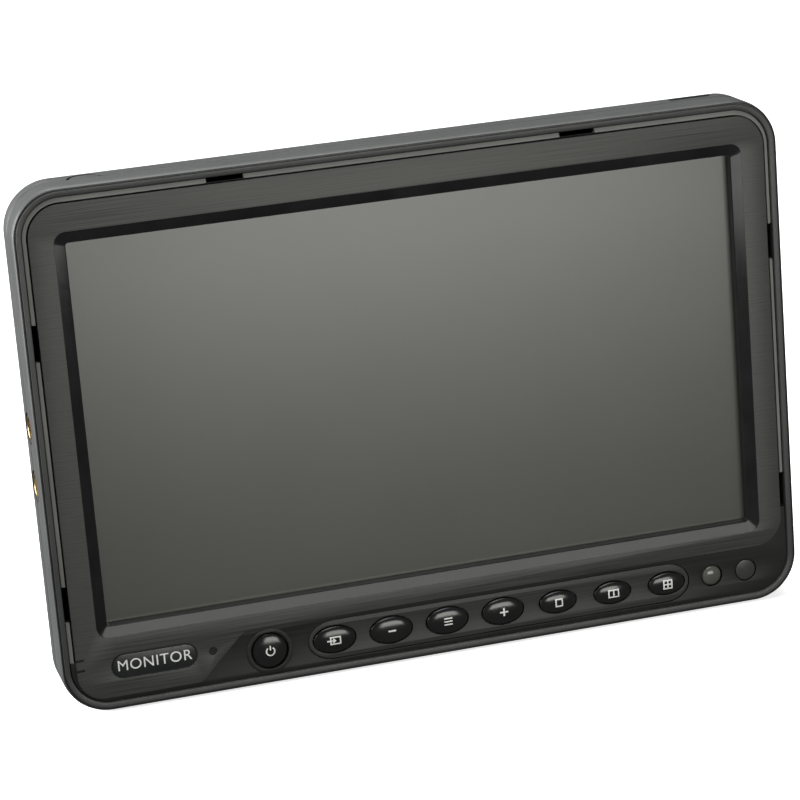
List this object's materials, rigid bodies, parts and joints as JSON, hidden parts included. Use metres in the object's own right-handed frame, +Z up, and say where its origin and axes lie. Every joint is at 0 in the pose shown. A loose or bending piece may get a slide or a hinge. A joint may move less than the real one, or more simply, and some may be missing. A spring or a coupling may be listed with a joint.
{
  "type": "rear view monitor",
  "caption": "Slim vehicle monitor with a brushed face plate, recessed screen, push buttons, side sockets and a T-slot rail on its back.",
  "frame": {"origin": "on the surface the monitor stands on, below the middle of its box", "axes": "+X to the right as the viewer sees the screen, +Y from the screen to the back, +Z up"},
  "size_m": [0.231, 0.0316, 0.157],
  "materials": {
    "case_plastic": "fine moulded texture, satin black",
    "rail_plastic": "textured black moulding",
    "brushed_plate": "dark grey plate with fine horizontal brushing and a gloss black window bevel",
    "badge_plastic": null,
    "key_plastic": "gloss black with printed function symbols",
    "switch_parts": "moulded tact switch",
    "smoked_window": "smoked translucent window",
    "led_lens": "small clear lens, unlit",
    "sensor_body": "moulded sensor body",
    "screen_surface": "unlit display surface, grey-green, satin gloss",
    "panel_steel": "plain sheet",
    "guide_acrylic": "clear acrylic with white reflector",
    "circuit_board": "green solder mask",
    "chip_black": "moulded black",
    "connector_plastic": "off-white moulding",
    "capacitor_can": "drawn can",
    "speaker_body": "steel basket and paper cone, black",
    "jack_brass": "bright plated",
    "jack_red": "red insulator",
    "screw_steel": "black zinc",
    "socket_shell": "nickel plated ring"
  },
  "bodies": {
    "housing": {"front_frame": "case_plastic", "rear_cover": "case_plastic", "stand_rail": "rail_plastic", "face_plate": "brushed_plate", "badge_insert": "badge_plastic", "power_switch": "switch_parts", "av_switch": "switch_parts", "minus_switch": "switch_parts", "menu_switch": "switch_parts", "plus_switch": "switch_parts", "single_view_switch": "switch_parts", "split_view_switch": "switch_parts", "quad_view_switch": "switch_parts", "ir_window": "smoked_window", "sensor_window": "smoked_window", "status_led": "led_lens", "ir_receiver": "sensor_body", "light_sensor": "sensor_body", "lcd_glass": "screen_surface", "panel_frame": "panel_steel", "panel_tray": "panel_steel", "light_guide": "guide_acrylic", "key_board": "circuit_board", "main_board": "circuit_board", "jack_board": "circuit_board", "video_processor": "chip_black", "power_inductor": "chip_black", "jack_block": "chip_black", "socket_core": "chip_black", "panel_connector": "connector_plastic", "panel_ribbon": "connector_plastic", "lower_jack_core": "connector_plastic", "filter_capacitor_1": "capacitor_can", "filter_capacitor_2": "capacitor_can", "speaker": "speaker_body", "upper_jack_barrel": "jack_brass", "lower_jack_barrel": "jack_brass", "upper_jack_core": "jack_red", "case_screw_1": "screw_steel", "case_screw_2": "screw_steel", "case_screw_3": "screw_steel", "case_screw_4": "screw_steel", "case_screw_5": "screw_steel", "case_screw_6": "screw_steel", "rail_screw_1": "screw_steel", "rail_screw_2": "screw_steel", "rail_screw_3": "screw_steel", "rail_screw_4": "screw_steel", "harness_socket": "socket_shell"},
    "power_key": {"power_button": "key_plastic"},
    "av_key": {"av_button": "key_plastic"},
    "minus_key": {"minus_button": "key_plastic"},
    "menu_key": {"menu_button": "key_plastic"},
    "plus_key": {"plus_button": "key_plastic"},
    "single_view_key": {"single_view_button": "key_plastic"},
    "split_view_key": {"split_view_button": "key_plastic"},
    "quad_view_key": {"quad_view_button": "key_plastic"}
  },
  "joints": [
    {"name": "power_press", "type": "slide", "parent": "housing", "child": "power_key", "axis": [0, 1, 0], "range_m": [0, 0.0007], "stiffness_N_per_m": 220},
    {"name": "av_press", "type": "slide", "parent": "housing", "child": "av_key", "axis": [0, 1, 0], "range_m": [0, 0.0007], "stiffness_N_per_m": 220},
    {"name": "minus_press", "type": "slide", "parent": "housing", "child": "minus_key", "axis": [0, 1, 0], "range_m": [0, 0.0007], "stiffness_N_per_m": 220},
    {"name": "menu_press", "type": "slide", "parent": "housing", "child": "menu_key", "axis": [0, 1, 0], "range_m": [0, 0.0007], "stiffness_N_per_m": 220},
    {"name": "plus_press", "type": "slide", "parent": "housing", "child": "plus_key", "axis": [0, 1, 0], "range_m": [0, 0.0007], "stiffness_N_per_m": 220},
    {"name": "single_view_press", "type": "slide", "parent": "housing", "child": "single_view_key", "axis": [0, 1, 0], "range_m": [0, 0.0007], "stiffness_N_per_m": 220},
    {"name": "split_view_press", "type": "slide", "parent": "housing", "child": "split_view_key", "axis": [0, 1, 0], "range_m": [0, 0.0007], "stiffness_N_per_m": 220},
    {"name": "quad_view_press", "type": "slide", "parent": "housing", "child": "quad_view_key", "axis": [0, 1, 0], "range_m": [0, 0.0007], "stiffness_N_per_m": 220}
  ]
}
